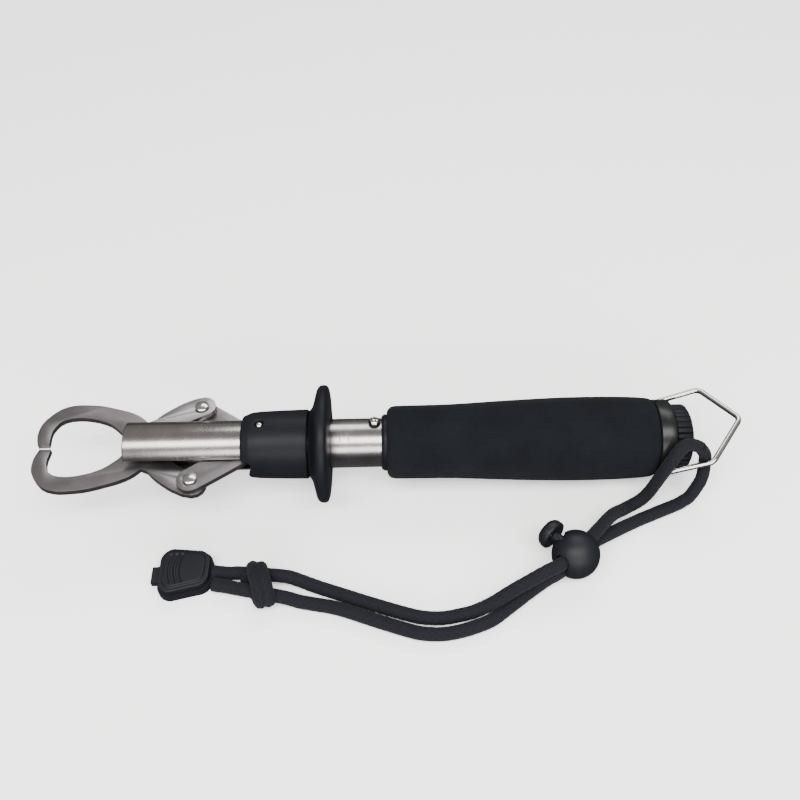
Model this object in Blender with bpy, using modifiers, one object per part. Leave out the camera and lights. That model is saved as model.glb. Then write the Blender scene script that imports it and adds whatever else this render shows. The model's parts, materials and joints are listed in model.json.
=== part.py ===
"""Fishing lip grip with a spring scale, a sliding finger trigger, a wire bail and a wrist lanyard.

Everything on the tool is built in the tool's own frame, carried by the empty "tool_frame":
X runs along the barrel from the jaw pivot to the bail, Y is the jaw plane's other direction and
Z is square to the jaws. The tool lies on its finger flange and the rear of its grip, so
tool_frame is tilted. The lanyard lies on the same surface, and is built in world coordinates.
Metres throughout, with the origin under the middle of the tool, at the level of the surface.
"""

import math

import bmesh
import bpy
from mathutils import Matrix, Vector

GAP = 0.0003
MERGE = 0.00001

# Barrel and the jaw pivot, whose centre is the origin of the tool's frame.
BARREL_RADIUS = 0.0095
BARREL_BORE = 0.0075
BARREL_FRONT = -0.0074
BARREL_REAR = 0.1560
PLATE = 0.0023
PLATE_LIFT = (PLATE + GAP) / 2
SIDE_SLOT_HALF = 0.0029
SIDE_SLOT_END = 0.0468
PIVOT_RADIUS = 0.0020
STOP_SCREW_X = 0.0862
STOP_SCREW_TURN = math.radians(-12)

# Bell-crank geometry: the rivets on the jaw tails and the pin in the trigger.
RIVET_X = 0.0184
RIVET_Y = 0.0175
RIVET_SHANK = 0.0013
RIVET_HEAD = 0.0026
RIVET_HEAD_HEIGHT = 0.0011
LINK_REAR_X = 0.0430
LINK_HALF_WIDTH = 0.0051
LINK_SLOTTED_HOLE = 0.0019
TRIGGER_PIN_RADIUS = 0.0014
TRIGGER_TRAVEL = 0.0065

# Trigger sleeve and finger flange.
SLEEVE_BORE = BARREL_RADIUS + 0.0004
SLEEVE_FRONT = 0.0359
SLEEVE_FULL = 0.0392
SLEEVE_REAR = 0.0610
SLEEVE_RADIUS = 0.0130
FLANGE_REAR = 0.0694
FLANGE_RIM_X = 0.0668
FLANGE_RADIUS = 0.0228

# Handle.
CORE_RADIUS = 0.0110
CORE_FRONT = 0.0889
GRIP_FRONT = 0.0910
GRIP_REAR = 0.1962
GRIP_REST_X = 0.1880
GRIP_REST_RADIUS = 0.0162
CAP_REAR = 0.2028
CAP_RADIUS = 0.0150
KNOB_FRONT = 0.2034
KNOB_REAR = 0.2110
KNOB_RADIUS = 0.0130
KNOB_RIBS = 32

# Scale spring, its rod and the trigger spring.
ROD_RADIUS = 0.0024
ROD_FRONT = 0.0775
ROD_NUT_REAR = 0.0820
PLUG_FRONT = 0.1500
SEAT_FRONT = 0.0720

# Bail.
BAIL_X = 0.1998
BAIL_HALF_WIDTH = 0.0175
BAIL_LEG = 0.0187
BAIL_SKEW = 0.0015
BAIL_FLARE = 0.0016
BAIL_REACH = 0.0316
BAIL_WIRE = 0.0011
BAIL_RAISED = math.radians(19.1)
BOSS_RADIUS = 0.0031

# Lanyard, laid out in world coordinates.
CORD_RADIUS = 0.0025
CORD_REST = CORD_RADIUS + 0.0001
BIGHT_SPACING = 0.0030
STRAND_SPACING = 0.0065
LOCK_RADIUS = 0.0090
LOCK_HEADING = math.radians(40)
STRAND_LIFT = 0.0026
PLUNGER_TRAVEL = 0.0018

# How finely round shapes are cut.
FINE = 40
MEDIUM = 28
COARSE = 20
SUBSTEPS = 16

# The tool's rest: the flange rim and the rear of the grip touch the surface.
TILT = math.atan2(FLANGE_RADIUS - GRIP_REST_RADIUS, GRIP_REST_X - FLANGE_RIM_X)
TOOL_CENTRE_X = 0.0937
TOOL_HEIGHT = FLANGE_RIM_X * math.sin(TILT) + FLANGE_RADIUS * math.cos(TILT)

COLOURS = {
    "satin_steel": ((0.30, 0.29, 0.29, 1), 1.0, 0.34),
    "brushed_steel": ((0.46, 0.44, 0.42, 1), 1.0, 0.30),
    "bright_steel": ((0.62, 0.60, 0.58, 1), 1.0, 0.18),
    "spring_steel": ((0.35, 0.35, 0.36, 1), 1.0, 0.35),
    "brass": ((0.60, 0.45, 0.20, 1), 1.0, 0.35),
    "black_nylon": ((0.022, 0.025, 0.034, 1), 0.0, 0.48),
    "black_foam": ((0.020, 0.022, 0.029, 1), 0.0, 0.85),
    "black_gloss": ((0.020, 0.022, 0.026, 1), 0.0, 0.35),
    "grey_plastic": ((0.045, 0.048, 0.062, 1), 0.0, 0.50),
    "black_cord": ((0.022, 0.025, 0.036, 1), 0.0, 0.80),
}


def clear_scene():
    for item in list(bpy.data.objects):
        bpy.data.objects.remove(item, do_unlink=True)


def new_collection(name):
    collection = bpy.data.collections.new(name)
    bpy.context.scene.collection.children.link(collection)
    return collection


def material(node, look):
    colour, metallic, roughness = COLOURS[look]
    result = bpy.data.materials.new(node)
    result.use_nodes = True
    shader = result.node_tree.nodes["Principled BSDF"]
    shader.inputs["Base Color"].default_value = colour
    shader.inputs["Metallic"].default_value = metallic
    shader.inputs["Roughness"].default_value = roughness
    return result


def add_empty(name, parent=None, location=(0, 0, 0), rotation=(0, 0, 0)):
    empty = bpy.data.objects.new(name, None)
    empty.location = location
    empty.rotation_euler = rotation
    empty.parent = parent
    PARTS.objects.link(empty)
    return empty


def add_object(name, data, parent, location=(0, 0, 0), rotation=(0, 0, 0), look=None):
    """Link an object as a part, or as a hidden cutter when it has no look."""
    item = bpy.data.objects.new(name, data)
    item.location = location
    item.rotation_euler = rotation
    item.parent = parent
    if look:
        PARTS.objects.link(item)
        data.materials.clear()
        data.materials.append(material(name, look))
    else:
        CUTTERS.objects.link(item)
        item.hide_render = True
        item.display_type = "WIRE"
    return item


def smooth(item, angle=35):
    item.data.shade_smooth()
    item.data.set_sharp_from_angle(angle=math.radians(angle))


def arc(centre, radius, start, end, steps):
    """Points of a circular arc in degrees, in the plane of the two coordinates."""
    angles = [math.radians(start + (end - start) * i / steps) for i in range(steps + 1)]
    return [(centre[0] + radius * math.cos(t), centre[1] + radius * math.sin(t)) for t in angles]


def turned(name, profile, parent, look=None, steps=FINE, location=(0, 0, 0)):
    """Turn a profile of (along X, radius) pairs, listed front to rear, around the tool's X axis."""
    mesh = bpy.data.meshes.new(name)
    shell = bmesh.new()
    rim = [shell.verts.new((radius, 0, -along)) for along, radius in profile]
    for first, second in zip(rim, rim[1:]):
        shell.edges.new((first, second))
    if min(profile[0][1], profile[-1][1]) > MERGE:
        shell.edges.new((rim[-1], rim[0]))
    shell.to_mesh(mesh)
    shell.free()
    item = add_object(name, mesh, parent, location, (0, -math.pi / 2, 0), look)
    screw = item.modifiers.new("turn", "SCREW")
    screw.steps = steps
    screw.render_steps = steps
    screw.use_merge_vertices = True
    screw.merge_threshold = MERGE
    return item


def box(name, low, high, parent, look=None):
    shape = bmesh.new()
    bmesh.ops.create_cube(shape, size=1)
    size = Vector(high) - Vector(low)
    middle = (Vector(high) + Vector(low)) / 2
    bmesh.ops.transform(shape, matrix=Matrix.Diagonal((*size, 1)), verts=shape.verts)
    mesh = bpy.data.meshes.new(name)
    shape.to_mesh(mesh)
    shape.free()
    return add_object(name, mesh, parent, middle, (0, 0, 0), look)


def post(name, radius, low, high, parent, at=(0, 0), look=None, sides=COARSE, axis="Z"):
    """A plain cylinder from low to high along one axis; at gives its other two coordinates."""
    shape = bmesh.new()
    depth = high - low
    bmesh.ops.create_cone(
        shape, cap_ends=True, segments=sides, radius1=radius, radius2=radius, depth=depth
    )
    mesh = bpy.data.meshes.new(name)
    shape.to_mesh(mesh)
    shape.free()
    middle = (high + low) / 2
    places = {"X": (middle, *at), "Y": (at[0], middle, at[1]), "Z": (*at, middle)}
    turns = {"X": (0, math.pi / 2, 0), "Y": (math.pi / 2, 0, 0), "Z": (0, 0, 0)}
    return add_object(name, mesh, parent, places[axis], turns[axis], look)


def boolean(item, cutters, operation="DIFFERENCE"):
    for cutter in cutters:
        step = item.modifiers.new(cutter.name, "BOOLEAN")
        step.operation = operation
        step.object = cutter
        step.solver = "EXACT"


def curve_to_mesh(item, look):
    """Replace a curve object by a welded mesh object of the same name, place and parent."""
    name = item.name
    parent = item.parent
    bpy.context.view_layer.update()
    evaluated = item.evaluated_get(bpy.context.evaluated_depsgraph_get())
    mesh = bpy.data.meshes.new_from_object(evaluated)
    place = item.matrix_world.copy()
    data = item.data
    bpy.data.objects.remove(item, do_unlink=True)
    bpy.data.curves.remove(data)
    shape = bmesh.new()
    shape.from_mesh(mesh)
    bmesh.ops.remove_doubles(shape, verts=shape.verts, dist=MERGE)
    shape.to_mesh(mesh)
    shape.free()
    mesh.name = name
    result = add_object(name, mesh, parent, look=look)
    bpy.context.view_layer.update()
    result.matrix_world = place
    return result


def plate(name, outlines, thickness, parent, location=(0, 0, 0), look=None):
    """A flat plate from closed outlines; the second and later outlines are its holes."""
    curve = bpy.data.curves.new(name, "CURVE")
    curve.dimensions = "2D"
    curve.fill_mode = "BOTH"
    curve.extrude = thickness / 2
    for outline in outlines:
        spline = curve.splines.new("POLY")
        spline.points.add(len(outline) - 1)
        for point, (x, y) in zip(spline.points, outline):
            point.co = (x, y, 0, 1)
        spline.use_cyclic_u = True
    item = add_object(name, curve, parent, location)
    return curve_to_mesh(item, look)


def wire(name, points, radius, parent, look, resolution=2, location=(0, 0, 0), rotation=(0, 0, 0)):
    curve = bpy.data.curves.new(name, "CURVE")
    curve.dimensions = "3D"
    curve.bevel_depth = radius
    curve.bevel_resolution = resolution
    curve.use_fill_caps = True
    spline = curve.splines.new("POLY")
    spline.points.add(len(points) - 1)
    for point, place in zip(spline.points, points):
        point.co = (*place, 1)
    item = add_object(name, curve, parent, location, rotation, look)
    result = curve_to_mesh(item, look)
    smooth(result)
    return result


def smooth_path(points, spacing):
    """Evenly spaced points of the Catmull-Rom curve through the given points."""
    points = [Vector(p) for p in points]
    dense = []
    for i in range(len(points) - 1):
        p1, p2 = points[i], points[i + 1]
        p0 = points[i - 1] if i else 2 * p1 - p2
        p3 = points[i + 2] if i + 2 < len(points) else 2 * p2 - p1
        for step in range(SUBSTEPS):
            t = step / SUBSTEPS
            bend = (2 * p0 - 5 * p1 + 4 * p2 - p3) * t * t
            twist = (3 * p1 - p0 - 3 * p2 + p3) * t * t * t
            dense.append((2 * p1 + (p2 - p0) * t + bend + twist) / 2)
    dense.append(points[-1])
    lengths = [0.0]
    for first, second in zip(dense, dense[1:]):
        lengths.append(lengths[-1] + (second - first).length)
    pieces = max(2, round(lengths[-1] / spacing))
    even = []
    index = 0
    for i in range(pieces + 1):
        target = lengths[-1] * i / pieces
        while index < len(dense) - 2 and lengths[index + 1] < target:
            index += 1
        span = lengths[index + 1] - lengths[index]
        even.append(dense[index].lerp(dense[index + 1], min(1, (target - lengths[index]) / span)))
    return even


def helix(front, rear, radius, turns, per_turn):
    """A coil along X whose first and last turns lie nearly flat."""
    total = turns * per_turn
    points = []
    for i in range(total + 1):
        share = i / total
        along = front + (rear - front) * (share - math.sin(2 * math.pi * share) / (2 * math.pi) * 0.7)
        angle = 2 * math.pi * i / per_turn
        points.append((along, radius * math.cos(angle), radius * math.sin(angle)))
    return points


# ---------------------------------------------------------------- barrel

def barrel_tube(tool, screw_seat):
    wall = BARREL_RADIUS - BARREL_BORE
    item = turned(
        "barrel_tube",
        [
            (BARREL_FRONT, BARREL_BORE),
            (BARREL_FRONT, BARREL_RADIUS - 0.0003),
            (BARREL_FRONT + 0.0003, BARREL_RADIUS),
            (BARREL_REAR, BARREL_RADIUS),
            (BARREL_REAR, BARREL_BORE),
        ],
        tool,
        "brushed_steel",
        FINE,
    )
    reach = 2 * BARREL_RADIUS
    side_slot = box(
        "barrel_side_slot",
        (BARREL_FRONT - wall, -reach, -SIDE_SLOT_HALF),
        (SIDE_SLOT_END, reach, SIDE_SLOT_HALF),
        tool,
    )
    pin_slot = box(
        "barrel_pin_slot",
        (LINK_REAR_X - 0.0019, -0.0018, -reach),
        (LINK_REAR_X + TRIGGER_TRAVEL + 0.0019, 0.0018, reach),
        tool,
    )
    pivot_pocket = post("barrel_pivot_pocket", PIVOT_RADIUS + GAP, -0.0086, 0.0086, tool)
    screw_hole = post("barrel_screw_hole", 0.0013 + GAP, 0, reach, screw_seat)
    boolean(item, [side_slot, pin_slot, pivot_pocket, screw_hole])
    smooth(item)


def jaw_pivot(tool):
    post("jaw_pivot_pin", PIVOT_RADIUS, -0.0083, 0.0083, tool, look="bright_steel")
    inner = PIVOT_RADIUS + GAP
    outer = 0.0042
    low = PLATE + GAP * 1.5
    for side, name in ((1, "jaw_spacer_upper"), (-1, "jaw_spacer_lower")):
        top = 0.0058
        item = plate(
            name,
            [arc((0, 0), outer, 0, 345, 23), arc((0, 0), inner, 0, 345, 23)],
            top - low,
            tool,
            (0, 0, side * (top + low) / 2),
            "bright_steel",
        )
        smooth(item)


def stop_screw(screw_seat):
    """Round-headed screw on top of the barrel, which stops the barrel at the handle's mouth."""
    head = 0.0023
    top = 0.0118
    profile = [(-top, 0.0), (-top + 0.0003, head * 0.75), (-top + 0.0009, head), (-0.0098, head)]
    profile += [(-0.0098, 0.0013), (-0.0079, 0.0013), (-0.0079, 0.0)]
    item = turned("stop_screw", profile, screw_seat, "bright_steel", COARSE)
    item.rotation_euler = (0, 0, 0)
    smooth(item)


def barrel_inside(tool):
    item = turned(
        "spring_seat",
        [
            (SEAT_FRONT, 0.0022),
            (SEAT_FRONT, BARREL_BORE - GAP),
            (SEAT_FRONT + 0.0028, BARREL_BORE - GAP),
            (SEAT_FRONT + 0.0028, 0.0022),
        ],
        tool,
        "brass",
        MEDIUM,
    )
    smooth(item)
    item = turned(
        "barrel_plug",
        [
            (PLUG_FRONT, ROD_RADIUS + 0.0004),
            (PLUG_FRONT, BARREL_BORE - GAP),
            (BARREL_REAR, BARREL_BORE - GAP),
            (BARREL_REAR + 0.0004, BARREL_BORE - GAP),
            (BARREL_REAR + 0.0004, BARREL_RADIUS),
            (BARREL_REAR + 0.0016, BARREL_RADIUS),
            (BARREL_REAR + 0.0016, ROD_RADIUS + 0.0004),
        ],
        tool,
        "brass",
        MEDIUM,
    )
    smooth(item)


# ---------------------------------------------------------------- jaws and links

def jaw_outline():
    """One jaw seen from above, for the +Y side: the hook, the pivot and the tail, in metres."""
    hook_outside = [
        (-0.0401, 0.0001), (-0.0412, 0.0044), (-0.0409, 0.0095), (-0.0390, 0.0135),
        (-0.0350, 0.0178), (-0.0303, 0.0195), (-0.0254, 0.0196), (-0.0193, 0.0189),
        (-0.0135, 0.0172), (-0.0082, 0.0154), (-0.0039, 0.0129), (-0.0012, 0.0101),
    ]
    tail_outside = [(0.0016, 0.0115), (0.0047, 0.0148), (0.0104, 0.0192), (0.0153, 0.0219)]
    tail_end = arc((0.0190, 0.0180), 0.0048, 90, -50, 5)
    tail_inside = [(0.0180, 0.0122), (0.0120, 0.0088), (0.0072, 0.0050)]
    pivot_boss = arc((0, 0), 0.0056, 8, -128, 5)
    hook_inside = [
        (-0.0070, -0.0008), (-0.0095, 0.0042), (-0.0116, 0.0066), (-0.0152, 0.0097),
        (-0.0200, 0.0118), (-0.0255, 0.0130), (-0.0307, 0.0128), (-0.0339, 0.0112),
        (-0.0354, 0.0088), (-0.0362, 0.0056), (-0.0358, 0.0001),
    ]
    return (
        rounded_run(hook_outside)
        + rounded_run(tail_outside)
        + tail_end
        + rounded_run(tail_inside)
        + pivot_boss
        + rounded_run(hook_inside)
    )


def rounded_run(points):
    """Outline points along a smooth run."""
    flat = [Vector((x, y, 0)) for x, y in points]
    return [(p.x, p.y) for p in smooth_path(flat, 0.0022)]


def mirrored(outline, side):
    return [(x, side * y) for x, y in outline]


def jaw(tool, name, side):
    """Side +1 is the upper plate on +Y, side -1 the lower plate on -Y."""
    holes = [
        arc((0, 0), PIVOT_RADIUS + GAP, 0, 342, 19),
        arc((RIVET_X, side * RIVET_Y), RIVET_SHANK + GAP, 0, 336, 14),
    ]
    outline = mirrored(jaw_outline(), side)
    item = plate(name, [outline] + holes, PLATE, tool, (0, 0, side * PLATE_LIFT), "satin_steel")
    smooth(item, 30)


def link(tool, name, side):
    """A flat bar from the jaw's rivet to the trigger's pin, under or over the jaw's tail."""
    pivot = add_empty(name + "_pivot", tool, (LINK_REAR_X, 0, 0))
    start = (RIVET_X - LINK_REAR_X, side * RIVET_Y)
    heading = math.degrees(math.atan2(-start[1], -start[0]))
    front = arc(start, LINK_HALF_WIDTH, heading + 90, heading + 270, 9)
    rear = arc((0, 0), LINK_HALF_WIDTH, heading - 90, heading + 90, 9)
    holes = [
        arc((0, 0), TRIGGER_PIN_RADIUS + GAP, 0, 336, 14),
        arc(start, LINK_SLOTTED_HOLE, 0, 342, 19),
    ]
    lift = -side * PLATE_LIFT
    item = plate(name, [front + rear] + holes, PLATE, pivot, (0, 0, lift), "satin_steel")
    smooth(item, 30)


def link_rivet(tool, name, side):
    under = PLATE + 1.5 * GAP
    top = under + RIVET_HEAD_HEIGHT
    half = [(top, 0.0), (top - 0.0002, RIVET_HEAD * 0.7), (top - 0.0006, RIVET_HEAD)]
    half += [(under, RIVET_HEAD), (under, RIVET_SHANK)]
    profile = [(-along, radius) for along, radius in half]
    profile += [(along, radius) for along, radius in reversed(half)]
    item = turned(name, profile, tool, "bright_steel", COARSE, (RIVET_X, side * RIVET_Y, 0))
    item.rotation_euler = (0, 0, 0)
    smooth(item)


# ---------------------------------------------------------------- trigger

def trigger_sleeve(tool):
    item = turned(
        "trigger_sleeve",
        [
            (SLEEVE_FRONT, SLEEVE_BORE),
            (SLEEVE_FRONT, 0.0108),
            (SLEEVE_FRONT + 0.0008, 0.0114),
            (SLEEVE_FULL, 0.0124),
            (SLEEVE_FULL + 0.0030, 0.0128),
            (SLEEVE_REAR - 0.0040, SLEEVE_RADIUS + 0.0003),
            (SLEEVE_REAR, SLEEVE_RADIUS + 0.0004),
            (SLEEVE_REAR, SLEEVE_BORE),
        ],
        tool,
        "black_nylon",
        FINE,
    )
    reach = 2 * SLEEVE_RADIUS
    slot = PLATE + 3 * GAP
    below = box(
        "sleeve_nose_cut",
        (SLEEVE_FRONT - 0.0010, -reach, -reach),
        (SLEEVE_FULL - 0.0006, reach, slot),
        tool,
    )
    sides = box("sleeve_side_slot", (SLEEVE_FRONT, -reach, -slot), (0.0396, reach, slot), tool)
    hole = post("sleeve_pin_hole", TRIGGER_PIN_RADIUS + GAP, -reach, reach, tool, (LINK_REAR_X, 0))
    boolean(item, [below, sides, hole])
    smooth(item)


def finger_flange(tool):
    front = SLEEVE_REAR + GAP
    profile = [
        (front, SLEEVE_BORE),
        (front, SLEEVE_RADIUS + 0.0002),
        (0.0622, 0.0140),
        (0.0630, 0.0163),
        (0.0638, 0.0195),
        (0.0645, 0.0217),
    ]
    profile += [(FLANGE_RIM_X + dx, r) for dx, r in ((-0.0012, 0.0226), (0.0, FLANGE_RADIUS))]
    profile += [(0.0680, 0.0226), (0.0687, 0.0217), (FLANGE_REAR, 0.0150), (FLANGE_REAR, SLEEVE_BORE)]
    item = turned("finger_flange", profile, tool, "black_nylon", FINE)
    smooth(item)


def trigger_inside(tool):
    reach = SLEEVE_RADIUS - 0.0004
    at = (LINK_REAR_X, 0)
    post("trigger_pin", TRIGGER_PIN_RADIUS, -reach, reach, tool, at, "bright_steel")
    front = LINK_REAR_X - 0.0045
    rear = LINK_REAR_X + 0.0078
    item = turned(
        "trigger_slider",
        [(front, 0.0), (front, BARREL_BORE - GAP), (rear, BARREL_BORE - GAP), (rear, 0.0)],
        tool,
        "brass",
        MEDIUM,
    )
    slot = PLATE + 3 * GAP
    clevis = box(
        "slider_clevis", (front - 0.0010, -0.0100, -slot), (rear - 0.0018, 0.0100, slot), tool
    )
    hole = post("slider_pin_hole", TRIGGER_PIN_RADIUS + GAP, -reach, reach, tool, at)
    boolean(item, [clevis, hole])
    smooth(item)
    coil = helix(rear + 0.0009, SEAT_FRONT - 0.0009, 0.0055, 7, 9)
    wire("trigger_spring", coil, 0.0005, tool, "spring_steel", 0)


# ---------------------------------------------------------------- handle

def handle_core(tool):
    item = turned(
        "front_bushing",
        [
            (CORE_FRONT, SLEEVE_BORE),
            (CORE_FRONT, 0.0103),
            (CORE_FRONT + 0.0010, CORE_RADIUS),
            (CORE_FRONT + 0.0060, CORE_RADIUS),
            (CORE_FRONT + 0.0060, SLEEVE_BORE),
        ],
        tool,
        "black_nylon",
        FINE,
    )
    smooth(item)
    front = CORE_FRONT + 0.0060 + GAP
    rear = GRIP_REAR - 0.0001
    item = turned(
        "handle_core",
        [(front, SLEEVE_BORE), (front, CORE_RADIUS), (rear, CORE_RADIUS), (rear, SLEEVE_BORE)],
        tool,
        "brushed_steel",
        MEDIUM,
    )
    smooth(item)


def grip_profile():
    """The foam grip's outside: rounded ends and a swell towards the rear."""
    front = [(GRIP_FRONT, 0.0118), (GRIP_FRONT + 0.0005, 0.0129), (GRIP_FRONT + 0.0014, 0.0138)]
    body = [
        (GRIP_FRONT + 0.0034, 0.0142), (0.1030, 0.0143), (0.1160, 0.0145), (0.1280, 0.0151),
        (0.1400, 0.0157), (0.1520, 0.0162), (0.1640, 0.0165), (0.1770, 0.0165),
        (GRIP_REST_X, GRIP_REST_RADIUS), (0.1935, 0.0158),
    ]
    return front + body + [(0.1952, 0.0155), (GRIP_REAR, 0.0149)]


def foam_grip(tool):
    bore = CORE_RADIUS + GAP
    profile = [(GRIP_FRONT, bore)] + grip_profile() + [(GRIP_REAR, bore)]
    item = turned("foam_grip", profile, tool, "black_foam", FINE)
    smooth(item, 50)


def butt_cap(tool):
    """The end cap: a spigot in the core, a ring behind the grip and a boss on each side."""
    front = 0.1823
    ring = GRIP_REAR + GAP
    recess = 0.1948
    item = turned(
        "butt_cap",
        [
            (front, ROD_RADIUS + 0.0005),
            (front, SLEEVE_BORE - GAP),
            (ring, SLEEVE_BORE - GAP),
            (ring, CAP_RADIUS - 0.0004),
            (ring + 0.0005, CAP_RADIUS),
            (CAP_REAR - 0.0008, CAP_RADIUS),
            (CAP_REAR, CAP_RADIUS - 0.0007),
            (CAP_REAR, 0.0074),
            (recess, 0.0074),
            (recess, ROD_RADIUS + 0.0005),
        ],
        tool,
        "black_gloss",
        FINE,
    )
    reach = BAIL_HALF_WIDTH - BAIL_WIRE - GAP
    at = (BAIL_X, 0)
    for side, name in ((1, "cap_boss_far"), (-1, "cap_boss_near")):
        low, high = sorted((side * 0.0120, side * reach))
        boolean(item, [post(name, BOSS_RADIUS, low, high, tool, at, axis="Y")], "UNION")
    for side, name in ((1, "cap_hole_far"), (-1, "cap_hole_near")):
        low, high = sorted((side * 0.0125, side * 0.0200))
        boolean(item, [post(name, BAIL_WIRE + GAP, low, high, tool, at, axis="Y")])
    smooth(item)


def zero_knob(tool):
    """Knurled knob: ribs around the side, a domed rear face and a boss in the cap's recess."""
    ribs_rear = KNOB_REAR - 0.0018
    depth = 0.00035
    around = [2 * math.pi * i / (KNOB_RIBS * 4) for i in range(KNOB_RIBS * 4)]
    radii = [KNOB_RADIUS - depth + depth * math.cos(KNOB_RIBS * t) for t in around]
    outline = [(r * math.cos(t), r * math.sin(t)) for r, t in zip(radii, around)]
    item = plate("zero_knob", [outline], ribs_rear - KNOB_FRONT, tool, look="black_nylon")
    item.rotation_euler = (0, math.pi / 2, 0)
    item.location = ((ribs_rear + KNOB_FRONT) / 2, 0, 0)
    inside = KNOB_RADIUS - 3 * depth
    core = turned(
        "knob_core",
        [
            (CAP_REAR - 0.0025, 0.0),
            (CAP_REAR - 0.0025, 0.0070),
            (KNOB_FRONT + 0.0005, 0.0070),
            (KNOB_FRONT + 0.0005, inside),
            (ribs_rear, inside),
            (ribs_rear + 0.0008, inside - 0.0004),
            (ribs_rear + 0.0015, inside - 0.0016),
            (KNOB_REAR, inside - 0.0034),
            (KNOB_REAR, 0.0),
        ],
        tool,
        steps=FINE,
    )
    boolean(item, [core], "UNION")
    smooth(item, 25)


# ---------------------------------------------------------------- scale

def scale_inside(tool):
    head_front = 0.1966
    item = turned(
        "scale_rod",
        [
            (ROD_FRONT, 0.0),
            (ROD_FRONT, ROD_RADIUS),
            (head_front, ROD_RADIUS),
            (head_front, 0.0058),
            (head_front + 0.0028, 0.0058),
            (head_front + 0.0028, 0.0),
        ],
        tool,
        "bright_steel",
        COARSE,
    )
    smooth(item)
    inner = ROD_RADIUS + GAP
    for name, low, high, outer, look in (
        ("rod_nut", ROD_NUT_REAR - 0.0035, ROD_NUT_REAR, 0.0066, "brass"),
        ("thrust_washer", 0.1952, 0.1963, 0.0066, "bright_steel"),
    ):
        item = turned(
            name, [(low, inner), (low, outer), (high, outer), (high, inner)], tool, look, MEDIUM
        )
        smooth(item)
    coil = helix(ROD_NUT_REAR + 0.0012, PLUG_FRONT - 0.0012, 0.0050, 11, 9)
    wire("scale_spring", coil, 0.0008, tool, "spring_steel", 0)


# ---------------------------------------------------------------- bail

def fillet(corner, before, after, radius, steps):
    """Arc that rounds a corner between two straight runs."""
    first = (before - corner).normalized()
    second = (after - corner).normalized()
    half = first.angle(second) / 2
    bisector = (first + second).normalized()
    centre = corner + bisector * (radius / math.sin(half))
    start = corner + first * (radius / math.tan(half)) - centre
    end = corner + second * (radius / math.tan(half)) - centre
    sweep = start.angle(end)
    points = []
    for i in range(steps + 1):
        t = i / steps
        mixed = start * math.sin((1 - t) * sweep) + end * math.sin(t * sweep)
        points.append(centre + mixed / math.sin(sweep))
    return points


def bail_wire(tool):
    hinge = add_empty("bail_hinge", tool, (BAIL_X, 0, 0), (0, -BAIL_RAISED, 0))
    half = BAIL_HALF_WIDTH
    corners = [
        Vector((0, -0.0132, 0)),
        Vector((0, -half, 0)),
        Vector((BAIL_LEG - BAIL_SKEW, -half, 0)),
        Vector((BAIL_REACH + 0.0006, 0, 0)),
        Vector((BAIL_LEG + BAIL_SKEW, half + BAIL_FLARE, 0)),
        Vector((0, half, 0)),
        Vector((0, 0.0132, 0)),
    ]
    radii = (0.0014, 0.0040, 0.0030, 0.0040, 0.0014)
    points = [corners[0]]
    for i, radius in enumerate(radii, start=1):
        points += fillet(corners[i], corners[i - 1], corners[i + 1], radius, 5)
    points.append(corners[-1])
    wire("bail_wire", points, BAIL_WIRE, hinge, "bright_steel", 3)


# ---------------------------------------------------------------- lanyard

def lock_place():
    return Vector((0.0653, -0.0473, LOCK_RADIUS))


def strand_through_lock(side):
    """Where a strand crosses the cord lock: side +1 is the upper one, side -1 the lower."""
    along = Vector((math.cos(LOCK_HEADING), math.sin(LOCK_HEADING), 0))
    middle = lock_place() + Vector((0, 0, side * STRAND_LIFT))
    return [middle - along * 0.0085, middle, middle + along * 0.0085]


BIGHT_ROUTE = [
    (0.0932, -0.0222, CORD_REST),
    (0.0951, -0.0213, 0.0028),
    (0.0971, -0.0205, 0.0042),
    (0.0991, -0.0199, 0.0073),
    (0.1012, -0.0193, 0.0125),
    (0.1035, -0.0187, 0.0185),
    (0.1062, -0.0174, 0.0236),
    (0.1093, -0.0150, 0.0264),
    (0.1132, -0.0131, 0.0265),
    (0.1173, -0.0131, 0.0246),
    (0.1199, -0.0135, 0.0205),
    (0.1205, -0.0142, 0.0164),
    (0.1201, -0.0162, 0.0135),
    (0.1188, -0.0188, 0.0110),
    (0.1163, -0.0211, 0.0077),
    (0.1141, -0.0224, 0.0047),
    (0.1118, -0.0232, 0.0036),
]

LEFT_ROUTE = (
    [
        (0.0921, -0.0228, CORD_REST), (0.0908, -0.0234, CORD_REST), (0.0875, -0.0258, 0.0040),
        (0.0815, -0.0310, 0.0080),
    ],
    [
        (0.0540, -0.0545, 0.0108), (0.0470, -0.0575, 0.0096), (0.0400, -0.0603, 0.0078),
        (0.0330, -0.0630, 0.0052),
    ],
    [
        (0.0262, -0.0646, 0.0030), (0.0212, -0.0654, CORD_REST), (0.0154, -0.0661, CORD_REST),
        (0.0098, -0.0657, CORD_REST), (0.0042, -0.0643, CORD_REST),
        (-0.0072, -0.0600, CORD_REST), (-0.0217, -0.0540, CORD_REST),
        (-0.0305, -0.0503, CORD_REST), (-0.0364, -0.0478, 0.0032), (-0.0422, -0.0462, 0.0042),
    ],
)

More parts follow.
